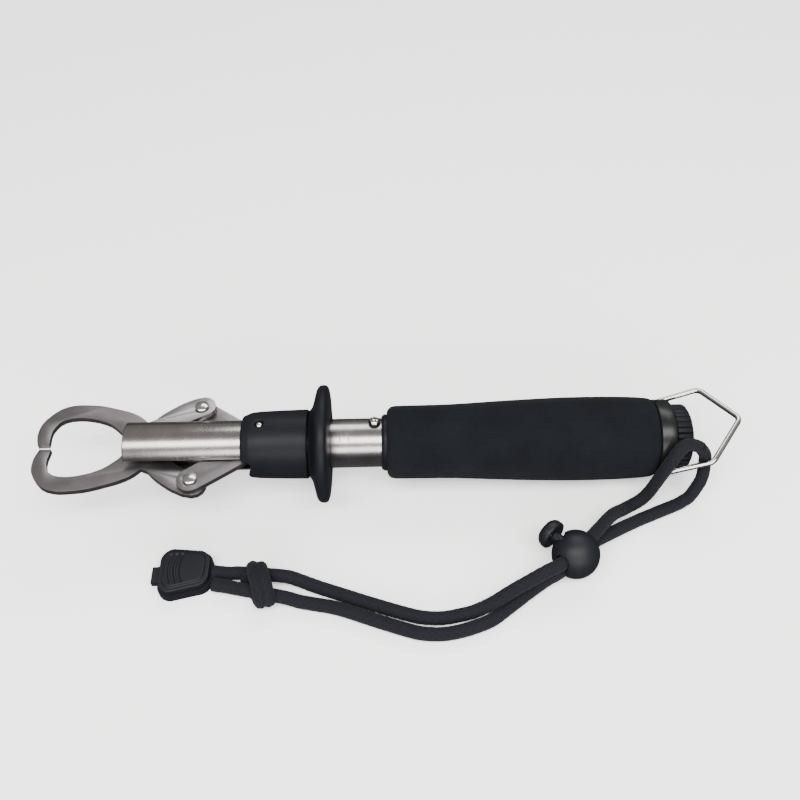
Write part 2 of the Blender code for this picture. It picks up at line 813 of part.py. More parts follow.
RIGHT_ROUTE = (
    [
        (0.1109, -0.0236, 0.0033), (0.1090, -0.0242, 0.0028), (0.0990, -0.0278, CORD_REST),
        (0.0920, -0.0305, CORD_REST), (0.0840, -0.0345, 0.0036),
    ],
    [(0.0540, -0.0547, 0.0051), (0.0480, -0.0578, 0.0035), (0.0400, -0.0630, CORD_REST)],
    [
        (0.0330, -0.0678, CORD_REST), (0.0270, -0.0701, CORD_REST), (0.0209, -0.0716, CORD_REST),
        (0.0152, -0.0722, CORD_REST), (0.0096, -0.0718, CORD_REST), (0.0040, -0.0704, CORD_REST),
        (-0.0072, -0.0660, CORD_REST), (-0.0216, -0.0600, CORD_REST),
        (-0.0302, -0.0576, CORD_REST), (-0.0360, -0.0563, 0.0030), (-0.0422, -0.0546, 0.0040),
    ],
)


END_LEFT_ROUTE = [(-0.0580, -0.0435, 0.0036), (-0.0625, -0.0433, 0.0036), (-0.0682, -0.0423, 0.0036)]
END_RIGHT_ROUTE = [(-0.0582, -0.0500, 0.0036), (-0.0622, -0.0489, 0.0036), (-0.0679, -0.0476, 0.0036)]


def strand_route(route, side):
    before, after, rest = route
    return before + list(reversed(strand_through_lock(side))) + after + rest


def lanyard_cord(ground):
    routes = (
        ("lanyard_bight", BIGHT_ROUTE, BIGHT_SPACING),
        ("lanyard_strand_left", strand_route(LEFT_ROUTE, 1), STRAND_SPACING),
        ("lanyard_strand_right", strand_route(RIGHT_ROUTE, -1), STRAND_SPACING),
        ("lanyard_end_left", END_LEFT_ROUTE, STRAND_SPACING),
        ("lanyard_end_right", END_RIGHT_ROUTE, STRAND_SPACING),
    )
    for name, route, spacing in routes:
        wire(name, smooth_path(route, spacing), CORD_RADIUS, ground, "black_cord", 2)


def lanyard_knot(ground):
    """Plain outer shape of the knot: a squat rounded lump the strands run into."""
    shape = bmesh.new()
    bmesh.ops.create_uvsphere(shape, u_segments=16, v_segments=10, radius=1)
    size = Vector((0.0064, 0.0102, 0.0054))
    bmesh.ops.transform(shape, matrix=Matrix.Diagonal((*size, 1)), verts=shape.verts)
    mesh = bpy.data.meshes.new("lanyard_knot")
    shape.to_mesh(mesh)
    shape.free()
    place = (-0.0507, -0.0496, size.z + 0.0001)
    item = add_object("lanyard_knot", mesh, ground, place, (0, 0, math.radians(8)), "black_cord")
    smooth(item)


def stadium(front, rear, radius):
    """Outline around both strands in the lock's XZ plane, stretched from front to rear along X."""
    return (
        arc((rear, STRAND_LIFT), radius, 0, 90, 6)
        + arc((front, STRAND_LIFT), radius, 90, 180, 6)
        + arc((front, -STRAND_LIFT), radius, 180, 270, 6)
        + arc((rear, -STRAND_LIFT), radius, 270, 360, 6)
    )


def lock_slab(name, outline, thickness, frame, look=None):
    item = plate(name, [outline], thickness, frame, look=look)
    item.rotation_euler = (math.pi / 2, 0, 0)
    return item


def cord_lock(ground):
    """Spring-loaded ball: a flat plunger crosses it, and both strands pass through the two."""
    frame = add_empty("lock_frame", ground, lock_place(), (0, 0, LOCK_HEADING + math.pi / 2))
    strand = CORD_RADIUS + 0.0004
    wall = strand + 0.0010
    well = wall + GAP
    tongue = 0.0048
    shape = bmesh.new()
    bmesh.ops.create_uvsphere(shape, u_segments=MEDIUM, v_segments=14, radius=LOCK_RADIUS)
    mesh = bpy.data.meshes.new("cord_lock_body")
    shape.to_mesh(mesh)
    shape.free()
    ball = add_object("cord_lock_body", mesh, frame, look="grey_plastic")
    slot = stadium(-PLUNGER_TRAVEL, 2 * LOCK_RADIUS, well)
    bore = stadium(0, 0, strand)
    cutters = [
        lock_slab("lock_slot", slot, tongue + 2 * GAP, frame),
        lock_slab("lock_strand_bore", bore, 4 * LOCK_RADIUS, frame),
        post("lock_spring_well", 0.0022, -0.0079, -0.0050, frame, axis="X"),
    ]
    boolean(ball, cutters)
    smooth(ball)
    plunger = lock_slab(
        "cord_lock_plunger", stadium(0, 0.0025, wall), tongue, frame, "grey_plastic"
    )
    knob = turned(
        "plunger_knob",
        [
            (0.0050, 0.0),
            (0.0050, 0.0023),
            (0.0104, 0.0023),
            (0.0106, 0.0056),
            (0.0134, 0.0055),
            (0.0149, 0.0045),
            (0.0156, 0.0028),
            (0.0156, 0.0),
        ],
        frame,
        steps=MEDIUM,
    )
    boolean(plunger, [knob], "UNION")
    window = stadium(0, PLUNGER_TRAVEL, strand)
    boolean(plunger, [lock_slab("plunger_window", window, 2 * LOCK_RADIUS, frame)])
    smooth(plunger)
    coil = helix(-0.0076, -wall - 0.0004, 0.0016, 2, 10)
    wire("cord_lock_spring", coil, 0.0003, frame, "spring_steel", 0)


def cord_end(ground):
    """Two-piece clamp on the cord's ends: a base tray and a ribbed snap-on cover."""
    frame = add_empty("cord_end_frame", ground, (-0.0787, -0.0416, 0), (0, 0, math.radians(1.5)))
    length = 0.0196
    width = 0.0194
    outline = rounded_tapered(length, width, 0.0164, 0.0052)
    base = plate("cord_end_base", [outline], 0.0030, frame, (0, 0, 0.0016), "grey_plastic")
    tab = box("cord_end_tab", (-0.0125, -0.0030, 0.0005), (-0.0080, 0.0036, 0.0029), frame)
    boolean(base, [tab], "UNION")
    smooth(base)
    inner = rounded_tapered(length - 0.0014, width - 0.0014, 0.0150, 0.0048)
    cover = plate("cord_end_cover", [inner], 0.0034, frame, (0, 0, 0.0051), "grey_plastic")
    smooth(cover)


def rounded_tapered(length, width, rear_width, radius):
    """Outline of a rounded plate whose +X end is narrower."""
    half = length / 2
    wide = width / 2
    narrow = rear_width / 2
    points = arc((half - radius, -narrow + radius), radius, -90, 0, 5)
    points += arc((half - radius, narrow - radius), radius, 0, 90, 5)
    points += arc((-half + radius, wide - radius), radius, 90, 180, 5)
    points += arc((-half + radius, -wide + radius), radius, 180, 270, 5)
    return points


def build():
    tool = add_empty("tool_frame", None, (-TOOL_CENTRE_X, 0, TOOL_HEIGHT), (0, TILT, 0))
    ground = add_empty("lanyard_frame")
    screw_seat = add_empty("screw_seat", tool, (STOP_SCREW_X, 0, 0), (STOP_SCREW_TURN, 0, 0))
    barrel_tube(tool, screw_seat)
    jaw_pivot(tool)
    stop_screw(screw_seat)
    barrel_inside(tool)
    for side, hand in ((1, "right"), (-1, "left")):
        jaw(tool, "jaw_" + hand, side)
        link(tool, "link_" + hand, side)
        link_rivet(tool, "link_rivet_" + hand, side)
    trigger_sleeve(tool)
    finger_flange(tool)
    trigger_inside(tool)
    handle_core(tool)
    foam_grip(tool)
    butt_cap(tool)
    zero_knob(tool)
    scale_inside(tool)
    bail_wire(tool)
    lanyard_cord(ground)
    lanyard_knot(ground)
    cord_lock(ground)
    cord_end(ground)


clear_scene()
PARTS = new_collection("fishing_lip_grip")
CUTTERS = new_collection("cutters")
build()
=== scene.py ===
"""Looks of the fishing lip grip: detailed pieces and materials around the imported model."""

import json
import math

import bmesh
import bpy
from mathutils import Matrix, Vector


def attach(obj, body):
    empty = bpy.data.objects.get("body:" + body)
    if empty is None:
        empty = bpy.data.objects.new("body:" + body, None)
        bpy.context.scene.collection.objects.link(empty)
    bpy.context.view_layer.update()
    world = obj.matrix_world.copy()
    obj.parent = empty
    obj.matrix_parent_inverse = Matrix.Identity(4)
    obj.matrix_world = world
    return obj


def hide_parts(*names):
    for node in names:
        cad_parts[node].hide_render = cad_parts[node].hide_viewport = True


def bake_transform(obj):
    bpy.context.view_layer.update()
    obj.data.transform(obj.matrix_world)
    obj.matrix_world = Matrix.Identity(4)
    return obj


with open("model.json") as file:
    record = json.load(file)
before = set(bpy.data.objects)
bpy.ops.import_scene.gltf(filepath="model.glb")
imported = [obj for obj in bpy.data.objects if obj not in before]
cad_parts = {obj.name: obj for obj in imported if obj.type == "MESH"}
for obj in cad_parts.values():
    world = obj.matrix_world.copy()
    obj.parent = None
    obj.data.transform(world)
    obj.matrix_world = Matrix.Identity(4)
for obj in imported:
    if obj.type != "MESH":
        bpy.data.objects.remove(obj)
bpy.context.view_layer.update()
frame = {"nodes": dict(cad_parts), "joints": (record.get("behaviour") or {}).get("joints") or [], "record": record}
NODES = frame["nodes"]
JOINTS = {joint["name"]: joint for joint in frame["joints"]}

# The tool's own frame: X along the barrel from the jaw pivot, Z square to the jaws.
AHEAD = Vector(JOINTS["trigger_slide"]["axis"])
UPWARD = -Vector(JOINTS["right_jaw_open"]["axis"])
PIVOT = Vector(JOINTS["right_jaw_open"]["pos_m"])
TOOL = Matrix.Translation(PIVOT) @ Matrix((AHEAD, (0, 1, 0), UPWARD)).transposed().to_4x4()
TILT = math.asin(-AHEAD.z)

GAP = 0.0003
FINE = 128
SHARP_ANGLE = 38

# ---------------------------------------------------------------- camera and light

CAMERA_LENS = 41.15
CAMERA_SENSOR = 36
CAMERA_SHIFT = (-0.0795, -0.0556)
CAMERA_PLACE = (0.01162, -0.22483, 0.30227)
CAMERA_DOWN = 46.09
CAMERA_TURN = -3.95


def add_camera():
    data = bpy.data.cameras.new("camera")
    data.lens = CAMERA_LENS
    data.sensor_width = CAMERA_SENSOR
    data.shift_x, data.shift_y = CAMERA_SHIFT
    data.clip_start = 0.01
    camera = bpy.data.objects.new("camera", data)
    camera.location = CAMERA_PLACE
    camera.rotation_euler = (math.radians(90 - CAMERA_DOWN), 0, math.radians(CAMERA_TURN))
    bpy.context.scene.collection.objects.link(camera)
    bpy.context.scene.camera = camera


def area_light(name, place, aim, size, power, colour):
    data = bpy.data.lights.new(name, "AREA")
    data.shape = "RECTANGLE"
    data.size = size[0]
    data.size_y = size[1]
    data.energy = power
    data.color = colour
    lamp = bpy.data.objects.new(name, data)
    lamp.location = place
    lamp.rotation_euler = (Vector(aim) - Vector(place)).to_track_quat("-Z", "Y").to_euler()
    bpy.context.scene.collection.objects.link(lamp)


def add_world():
    """A dim room: warm grey above, darker below the horizon."""
    world = bpy.data.worlds.new("room")
    world.use_nodes = True
    tree = world.node_tree
    bpy.context.scene.world = world
    place = tree.nodes.new("ShaderNodeTexCoord")
    split = tree.nodes.new("ShaderNodeSeparateXYZ")
    ramp = tree.nodes.new("ShaderNodeValToRGB")
    height = tree.nodes.new("ShaderNodeMath")
    height.operation = "MULTIPLY_ADD"
    height.inputs[1].default_value = 0.5
    height.inputs[2].default_value = 0.5
    stops = ramp.color_ramp
    stops.elements[0].position = 0.0
    stops.elements[0].color = (0.16, 0.16, 0.17, 1)
    stops.elements[1].position = 1.0
    stops.elements[1].color = (0.50, 0.49, 0.47, 1)
    for position, colour in ((0.47, (0.10, 0.10, 0.11, 1)), (0.55, (0.34, 0.33, 0.32, 1))):
        stops.elements.new(position).color = colour
    back = tree.nodes["Background"]
    tree.links.new(place.outputs["Generated"], split.inputs[0])
    tree.links.new(split.outputs["Z"], height.inputs[0])
    tree.links.new(height.outputs[0], ramp.inputs["Fac"])
    tree.links.new(ramp.outputs["Color"], back.inputs["Color"])
    back.inputs["Strength"].default_value = 1.0


def add_stage():
    """The pale floor under the object, and the three area lights."""
    shape = bmesh.new()
    bmesh.ops.create_grid(shape, x_segments=1, y_segments=1, size=3)
    mesh = bpy.data.meshes.new("floor")
    shape.to_mesh(mesh)
    shape.free()
    floor = bpy.data.objects.new("floor", mesh)
    bpy.context.scene.collection.objects.link(floor)
    paint = bpy.data.materials.new("floor")
    paint.use_nodes = True
    shader = paint.node_tree.nodes["Principled BSDF"]
    shader.inputs["Base Color"].default_value = (0.93, 0.93, 0.93, 1)
    shader.inputs["Roughness"].default_value = 0.9
    shader.inputs["Specular IOR Level"].default_value = 0.1
    shader.inputs["Emission Color"].default_value = (1, 1, 1, 1)
    shader.inputs["Emission Strength"].default_value = 0.5
    mesh.materials.append(paint)
    floor.visible_glossy = False
    area_light("above", (0.0, -0.45, 0.95), (0, 0, 0), (1.6, 0.42), 30, (1.0, 0.98, 0.95))
    area_light("front", (0.1, -1.25, 0.50), (0, 0, 0), (1.7, 0.50), 23, (1.0, 0.95, 0.97))
    area_light("behind", (0.3, 0.9, 1.1), (0, 0, 0), (1.2, 0.6), 14, (1.0, 1.0, 1.0))


# ---------------------------------------------------------------- mesh tools

def finished(name, shape, angle=SHARP_ANGLE):
    """A mesh object from a bmesh, shaded smooth except at sharp edges."""
    bmesh.ops.recalc_face_normals(shape, faces=shape.faces)
    mesh = bpy.data.meshes.new(name)
    shape.to_mesh(mesh)
    shape.free()
    mesh.shade_smooth()
    mesh.set_sharp_from_angle(angle=math.radians(angle))
    item = bpy.data.objects.new(name, mesh)
    bpy.context.scene.collection.objects.link(item)
    return item


def arc(centre, radius, start, end, steps):
    """Points of a circular arc in degrees, in the plane of the two coordinates."""
    angles = [math.radians(start + (end - start) * i / steps) for i in range(steps + 1)]
    return [(centre[0] + radius * math.cos(t), centre[1] + radius * math.sin(t)) for t in angles]


def lathe(profile, segments=FINE, place=TOOL, swell=None):
    """A bmesh turned around the X axis of place; swell(angle, x) may add to the radius."""
    shape = bmesh.new()
    rings = []
    for along, radius in profile:
        ring = []
        for i in range(segments if radius > 0 else 1):
            angle = 2 * math.pi * i / segments
            r = radius + (swell(angle, along) if swell and radius > 0 else 0)
            point = Vector((along, r * math.cos(angle), r * math.sin(angle)))
            ring.append(shape.verts.new(place @ point))
        rings.append(ring)
    pairs = list(zip(rings, rings[1:]))
    if len(rings[0]) > 1:
        pairs.append((rings[-1], rings[0]))
    for first, second in pairs:
        for i in range(segments):
            k = (i + 1) % segments
            corners = [first[i % len(first)], first[k % len(first)]]
            corners += [second[k % len(second)], second[i % len(second)]]
            corners = list(dict.fromkeys(corners))
            if len(corners) > 2:
                shape.faces.new(corners)
    return shape


def slab(outline, low, high, place):
    """A bmesh plate from a closed outline of (x, y), from low to high along Z of place."""
    shape = bmesh.new()
    lower = [shape.verts.new(place @ Vector((x, y, low))) for x, y in outline]
    upper = [shape.verts.new(place @ Vector((x, y, high))) for x, y in outline]
    shape.faces.new(list(reversed(lower)))
    shape.faces.new(upper)
    count = len(outline)
    for i in range(count):
        k = (i + 1) % count
        shape.faces.new((lower[i], lower[k], upper[k], upper[i]))
    return shape


def brick(low, high, place=TOOL):
    outline = [(low[0], low[1]), (high[0], low[1]), (high[0], high[1]), (low[0], high[1])]
    return slab(outline, low[2], high[2], place)


def pin(radius, low, high, place, sides=48):
    return slab(arc((0, 0), radius, 0, 360 - 360 / sides, sides - 1), low, high, place)


def cut(item, shapes, operation="DIFFERENCE"):
    """Boolean with each bmesh, applied at once."""
    for shape in shapes:
        tool = finished("cutter", shape)
        step = item.modifiers.new("cut", "BOOLEAN")
        step.operation = operation
        step.object = tool
        step.solver = "EXACT"
        bake(item)
        mesh = tool.data
        bpy.data.objects.remove(tool, do_unlink=True)
        bpy.data.meshes.remove(mesh)
    return item


def bake(item, angle=SHARP_ANGLE):
    """Apply an object's modifiers to its mesh."""
    bpy.context.view_layer.update()
    seen = item.evaluated_get(bpy.context.evaluated_depsgraph_get())
    mesh = bpy.data.meshes.new_from_object(seen)
    old = item.data
    item.modifiers.clear()
    item.data = mesh
    bpy.data.meshes.remove(old)
    mesh.shade_smooth()
    mesh.set_sharp_from_angle(angle=math.radians(angle))


def softened(item, voxel, passes):
    """Rounds every edge a little, as on a moulded part."""
    remesh = item.modifiers.new("even", "REMESH")
    remesh.mode = "VOXEL"
    remesh.voxel_size = voxel
    relax = item.modifiers.new("relax", "SMOOTH")
    relax.factor = 0.5
    relax.iterations = passes
    bake(item, 60)
    return item


def bevelled(shape, width, segments=3, angle=32):
    limit = math.radians(angle)
    inner = [edge for edge in shape.edges if len(edge.link_faces) == 2]
    sharp = [edge for edge in inner if edge.calc_face_angle() > limit]
    bmesh.ops.bevel(
        shape, geom=sharp, offset=width, segments=segments, profile=0.5,
        affect="EDGES", clamp_overlap=True,
    )
    return shape


def refined(node, width, segments=3):
    """A CAD node's shape again, with its sharp edges rounded."""
    shape = bmesh.new()
    shape.from_mesh(NODES[node].data)
    bmesh.ops.remove_doubles(shape, verts=shape.verts, dist=1e-6)
    bmesh.ops.dissolve_limit(
        shape, angle_limit=math.radians(1), verts=shape.verts, edges=shape.edges
    )
    return finished(node + "_rounded", bevelled(shape, width, segments))


def smooth_path(points, spacing):
    """Evenly spaced points of the Catmull-Rom curve through the given points."""
    points = [Vector(p) for p in points]
    dense = []
    for i in range(len(points) - 1):
        p1, p2 = points[i], points[i + 1]
        p0 = points[i - 1] if i else 2 * p1 - p2
        p3 = points[i + 2] if i + 2 < len(points) else 2 * p2 - p1
        for step in range(16):
            t = step / 16
            bend = (2 * p0 - 5 * p1 + 4 * p2 - p3) * t * t
            twist = (3 * p1 - p0 - 3 * p2 + p3) * t * t * t
            dense.append((2 * p1 + (p2 - p0) * t + bend + twist) / 2)
    dense.append(points[-1])
    lengths = [0.0]
    for first, second in zip(dense, dense[1:]):
        lengths.append(lengths[-1] + (second - first).length)
    pieces = max(2, round(lengths[-1] / spacing))
    even = []
    index = 0
    for i in range(pieces + 1):
        target = lengths[-1] * i / pieces
        while index < len(dense) - 2 and lengths[index + 1] < target:
            index += 1
        span = lengths[index + 1] - lengths[index]
        even.append(dense[index].lerp(dense[index + 1], min(1, (target - lengths[index]) / span)))
    return even


BRAID_CELLS = 8
BRAID_PITCH = 0.0028
FILAMENTS = 4


def braid_height(u, v):
    """Height from 0 to 1 of a two-over weave; u is turns round the cord, v is metres along it."""
    a = u * BRAID_CELLS + v / BRAID_PITCH
    b = u * BRAID_CELLS - v / BRAID_PITCH
    over = (math.floor(a) + math.floor(b)) % 2
    return abs(math.sin(math.pi * (a if over else b)))


def tube(name, points, radius, sides=32, relief=0.0):
    """A closed mesh tube along the points, with UVs in turns and metres."""
    shape = bmesh.new()
    layer = shape.loops.layers.uv.new("UVMap")
    count = len(points)
    across = None
    rings = []
    run = [0.0]
    for i in range(count):
        before = points[max(i - 1, 0)]
        after = points[min(i + 1, count - 1)]
        heading = (after - before).normalized()
        if across is None:
            across = heading.cross(Vector((0, 0, 1))).normalized()
        across = (across - heading * across.dot(heading)).normalized()
        up = across.cross(heading)
        if i:
            run.append(run[-1] + (points[i] - points[i - 1]).length)
        ring = []
        for k in range(sides):
            angle = 2 * math.pi * k / sides
            r = radius + relief * (braid_height(k / sides, run[-1]) - 0.8)
            side = across * (r * math.cos(angle)) + up * (r * math.sin(angle))
            ring.append(shape.verts.new(points[i] + side))
        rings.append(ring)
    for i in range(count - 1):
        for k in range(sides):
            n = (k + 1) % sides
            face = shape.faces.new((rings[i][k], rings[i][n], rings[i + 1][n], rings[i + 1][k]))
            values = ((k, i), (k + 1, i), (k + 1, i + 1), (k, i + 1))
            for loop, (turn, along) in zip(face.loops, values):
                loop[layer].uv = (turn / sides, run[along])
    for ring, at in ((rings[0], points[0]), (rings[-1], points[-1])):
        tip = shape.verts.new(at)
        for k in range(sides):
            shape.faces.new((ring[k], ring[(k + 1) % sides], tip))
    return finished(name, shape, 60)


# ---------------------------------------------------------------- materials

class Look:
    """A Principled material with small helpers for its nodes."""

    def __init__(self, name, colour, metallic=0.0, roughness=0.5, **sockets):
        self.material = bpy.data.materials.new(name)
        self.material.use_nodes = True
        self.tree = self.material.node_tree
        self.shader = self.tree.nodes["Principled BSDF"]
        self.shader.inputs["Base Color"].default_value = (*colour, 1)
        self.shader.inputs["Metallic"].default_value = metallic
        self.shader.inputs["Roughness"].default_value = roughness
        for socket, value in sockets.items():
            self.shader.inputs[socket.replace("_", " ")].default_value = value
        self.heights = []

    def add(self, kind, inputs=None, **settings):
        node = self.tree.nodes.new("ShaderNode" + kind)
        for key, value in settings.items():
            setattr(node, key, value)
        for key, value in (inputs or {}).items():
            if isinstance(value, bpy.types.NodeSocket):
                self.tree.links.new(value, node.inputs[key])
            else:
                node.inputs[key].default_value = value
        return node

    def place(self, tool=True, stretch=(1, 1, 1)):
        """Coordinates in metres, in the tool's frame or the world's, divided by stretch."""
        source = self.add("TexCoord").outputs["Object"]
        if tool:
            turned = self.add("Mapping", {"Vector": source}, vector_type="TEXTURE")
            turned.inputs["Location"].default_value = PIVOT
            turned.inputs["Rotation"].default_value = (0, TILT, 0)
            source = turned.outputs[0]
        scaled = self.add("Mapping", {"Vector": source})
        scaled.inputs["Scale"].default_value = [1 / s for s in stretch]
        return scaled.outputs[0]

    def noise(self, where, size, detail=3, rough=0.55):
        inputs = {"Vector": where, "Scale": 1 / size, "Detail": detail, "Roughness": rough}
        return self.add("TexNoise", inputs).outputs[0]

    def cells(self, where, size):
        return self.add("TexVoronoi", {"Vector": where, "Scale": 1 / size}).outputs["Distance"]

    def math(self, operation, first, second=0.0, third=0.0):
        return self.add("Math", {0: first, 1: second, 2: third}, operation=operation).outputs[0]

    def remap(self, value, low, high, to_low, to_high):
        inputs = {"Value": value, "From Min": low, "From Max": high}
        inputs.update({"To Min": to_low, "To Max": to_high})
        return self.add("MapRange", inputs).outputs[0]

    def spread(self, noise, to_low, to_high):
        """A noise value, most of which lies from 0.3 to 0.7, mapped to another range."""
        return self.remap(noise, 0.3, 0.7, to_low, to_high)

    def tint(self, factor, dark, light):
        """Base colour between two colours by a factor."""
        ramp = self.add("ValToRGB", {"Fac": factor})
        ramp.color_ramp.elements[0].color = (*dark, 1)
        ramp.color_ramp.elements[1].color = (*light, 1)
        self.tree.links.new(ramp.outputs["Color"], self.shader.inputs["Base Color"])
        return ramp

    def rough(self, value):
        self.tree.links.new(value, self.shader.inputs["Roughness"])

    def bump(self, height, depth, strength=1.0):
        inputs = {"Height": height, "Distance": depth, "Strength": strength}
        if self.heights:
            inputs["Normal"] = self.heights[-1]
        node = self.add("Bump", inputs)
        self.heights.append(node.outputs[0])
        self.tree.links.new(node.outputs[0], self.shader.inputs["Normal"])


def scaled(colour, factor):
    return tuple(c * factor for c in colour)


def steel(name, colour, roughness, stretch, tool=True, scratch=0.00002, smudge=0.12):
    """Stainless steel with a directional grain, fine scratches and faint smudges."""
    look = Look(name, colour, 1.0, roughness)
    grain = look.noise(look.place(tool, stretch), 0.00018, 4, 0.7)
    patches = look.noise(look.place(tool), 0.009, 3)
    specks = look.noise(look.place(tool), 0.0009, 5, 0.7)
    mixed = look.math("MULTIPLY_ADD", patches, 0.6, look.math("MULTIPLY", specks, 0.4))
    look.tint(look.spread(mixed, 0, 1), scaled(colour, 0.84), scaled(colour, 1.10))
    spread = look.math("MULTIPLY_ADD", grain, smudge, look.math("MULTIPLY", patches, smudge))
    look.rough(look.math("ADD", spread, roughness - smudge))
    look.bump(grain, scratch, 0.6)
    return look.material


def plastic(name, colour, roughness, grain=0.0004, depth=0.00003, tool=True, shine=0.10):
    """Moulded plastic with a fine texture, slight fading and scuffs."""
    look = Look(name, colour, 0.0, roughness, Specular_IOR_Level=shine)
    fine = look.noise(look.place(tool), grain, 3, 0.6)
    broad = look.noise(look.place(tool), 0.012, 4)
    scuff = look.noise(look.place(tool, (4, 1, 1)), 0.0012, 5, 0.75)
    worn = look.remap(scuff, 0.60, 0.78, 0, 0.5)
    fade = look.math("ADD", look.spread(broad, 0, 0.5), worn)
    look.tint(fade, scaled(colour, 0.9), scaled(colour, 1.35))
    uneven = look.spread(fine, roughness - 0.04, roughness + 0.04)
    look.rough(look.math("ADD", look.spread(broad, -0.04, 0.05), uneven))
    look.bump(fine, depth, 0.7)
    return look.material


def foam(name, colour):
    """Closed-cell foam: tiny pores, a soft nap and a trace of dust."""
    sockets = {"Specular_IOR_Level": 0.07, "Sheen_Weight": 0.01, "Sheen_Roughness": 0.6}
    look = Look(name, colour, 0.0, 0.85, **sockets)
    pores = look.cells(look.place(), 0.00042)
    skin = look.noise(look.place(), 0.00025, 3, 0.7)
    dust = look.noise(look.place(), 0.014, 5, 0.6)
    specks = look.noise(look.place(), 0.0011, 2, 0.6)
    pit = look.remap(pores, 0.0, 0.5, 0, 1)
    shade = look.math("MULTIPLY_ADD", dust, 0.7, look.math("MULTIPLY", specks, 0.3))
    look.tint(look.remap(shade, 0.35, 0.72, 0, 1), scaled(colour, 0.85), scaled(colour, 1.35))
    look.rough(look.spread(skin, 0.78, 0.95))
    look.bump(pit, 0.00006, 0.8)
    look.bump(skin, 0.00004, 0.8)
    return look.material


def braid(name, colour):
    """Braided cord: yarns in two directions, each of fine filaments."""
    sockets = {"Specular_IOR_Level": 0.12, "Sheen_Weight": 0.03, "Sheen_Roughness": 0.5}
    look = Look(name, colour, 0.0, 0.75, **sockets)
    uv = look.add("TexCoord").outputs["UV"]
    split = look.add("SeparateXYZ", {0: uv})
    u = look.math("MULTIPLY", split.outputs[0], BRAID_CELLS)
    v = look.math("DIVIDE", split.outputs[1], BRAID_PITCH)
    a = look.math("ADD", u, v)
    b = look.math("SUBTRACT", u, v)
    both = look.math("ADD", look.math("FLOOR", a), look.math("FLOOR", b))
    over = look.math("ABSOLUTE", look.math("MODULO", both, 2))
    under = look.math("SUBTRACT", 1, over)

    def woven(first, second):
        """first where the yarn along a lies on top, second elsewhere."""
        return look.math("ADD", look.math("MULTIPLY", first, over), look.math("MULTIPLY", second, under))

    rise_a = look.math("ABSOLUTE", look.math("SINE", look.math("MULTIPLY", a, math.pi)))
    rise_b = look.math("ABSOLUTE", look.math("SINE", look.math("MULTIPLY", b, math.pi)))
    weave = woven(rise_a, rise_b)
    threads_a = look.math("SINE", look.math("MULTIPLY", b, 2 * math.pi * FILAMENTS))
    threads_b = look.math("SINE", look.math("MULTIPLY", a, 2 * math.pi * FILAMENTS))
    threads = woven(threads_a, threads_b)
    fuzz = look.noise(look.place(False), 0.0003, 3, 0.7)
    wear = look.noise(look.place(False), 0.012, 4)
    # The tint is partly painted shade: darker in the dips between the yarns and lighter on their crowns, mixed
    # with random wear.
    shade = look.math("ADD", look.math("MULTIPLY", weave, 0.55), look.math("MULTIPLY", wear, 0.45))
    look.tint(look.remap(shade, 0.15, 0.85, 0, 1), scaled(colour, 0.7), scaled(colour, 1.25))
    look.rough(look.spread(fuzz, 0.68, 0.9))
    look.bump(weave, 0.00012, 0.7)
    look.bump(threads, 0.00003, 0.7)
    look.bump(fuzz, 0.00004, 0.6)
    return look.material


LOOKS = {
    "satin_steel": steel("satin_steel", (0.225, 0.211, 0.217), 0.34, (1, 30, 1), scratch=0.000012),
    "brushed_steel": steel(
        "brushed_steel", (0.30, 0.28, 0.277), 0.25, (1, 40, 40), scratch=0.000008, smudge=0.07
    ),
    "bright_steel": steel("bright_steel", (0.50, 0.485, 0.47), 0.17, (1, 6, 6), smudge=0.07),
    "spring_steel": steel("spring_steel", (0.40, 0.40, 0.41), 0.32, (1, 5, 5)),
    "brass": steel("brass", (0.62, 0.46, 0.21), 0.34, (1, 30, 30)),
    "black_nylon": plastic("black_nylon", (0.0052, 0.0060, 0.0082), 0.44, 0.0005, 0.00003),
    "black_foam": foam("black_foam", (0.0036, 0.0044, 0.0062)),
    "black_gloss": plastic(
        "black_gloss", (0.0060, 0.0070, 0.0070), 0.28, 0.0004, 0.00001, shine=0.22
    ),
    "grey_plastic": plastic(
        "grey_plastic", (0.0052, 0.0060, 0.0085), 0.48, 0.0004, 0.00002, False, 0.2
    ),
    "black_cord": braid("black_cord", (0.0048, 0.0055, 0.0080)),
}


def dressed(item, slot, body=None, *nodes):
    """Give a piece its material, body and the CAD nodes it stands for."""
    item.data.materials.clear()
    item.data.materials.append(LOOKS[slot])
    if body:
        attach(item, body)
    if nodes:
        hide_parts(*nodes)
    return item


# ---------------------------------------------------------------- lanyard

CORD_RADIUS = 0.0025
CORD_REST = CORD_RADIUS + 0.0001
LOCK_RADIUS = 0.0090
LOCK_HEADING = math.radians(40)
STRAND_LIFT = 0.0026
LOCK_PLACE = Vector((0.0653, -0.0473, LOCK_RADIUS))
LOCK_TURN = Matrix.Rotation(LOCK_HEADING + math.pi / 2, 4, "Z")
LOCK_FRAME = Matrix.Translation(LOCK_PLACE) @ LOCK_TURN
LOCK_REACH = 0.0085
PATH_STEP = 0.0006
KNOT_PLACE = Vector((-0.0507, -0.0496, 0.0055))

BIGHT_ROUTE = [
    (0.0932, -0.0222, CORD_REST),
    (0.0951, -0.0213, 0.0028),
    (0.0971, -0.0205, 0.0042),
    (0.0991, -0.0199, 0.0073),
    (0.1012, -0.0193, 0.0125),
    (0.1035, -0.0187, 0.0185),
    (0.1062, -0.0174, 0.0236),
    (0.1093, -0.0150, 0.0264),
    (0.1132, -0.0131, 0.0265),
    (0.1173, -0.0131, 0.0246),
    (0.1199, -0.0135, 0.0205),
    (0.1205, -0.0142, 0.0164),
    (0.1201, -0.0162, 0.0135),
    (0.1188, -0.0188, 0.0110),
    (0.1163, -0.0211, 0.0077),
    (0.1141, -0.0224, 0.0047),
    (0.1118, -0.0232, 0.0036),
]

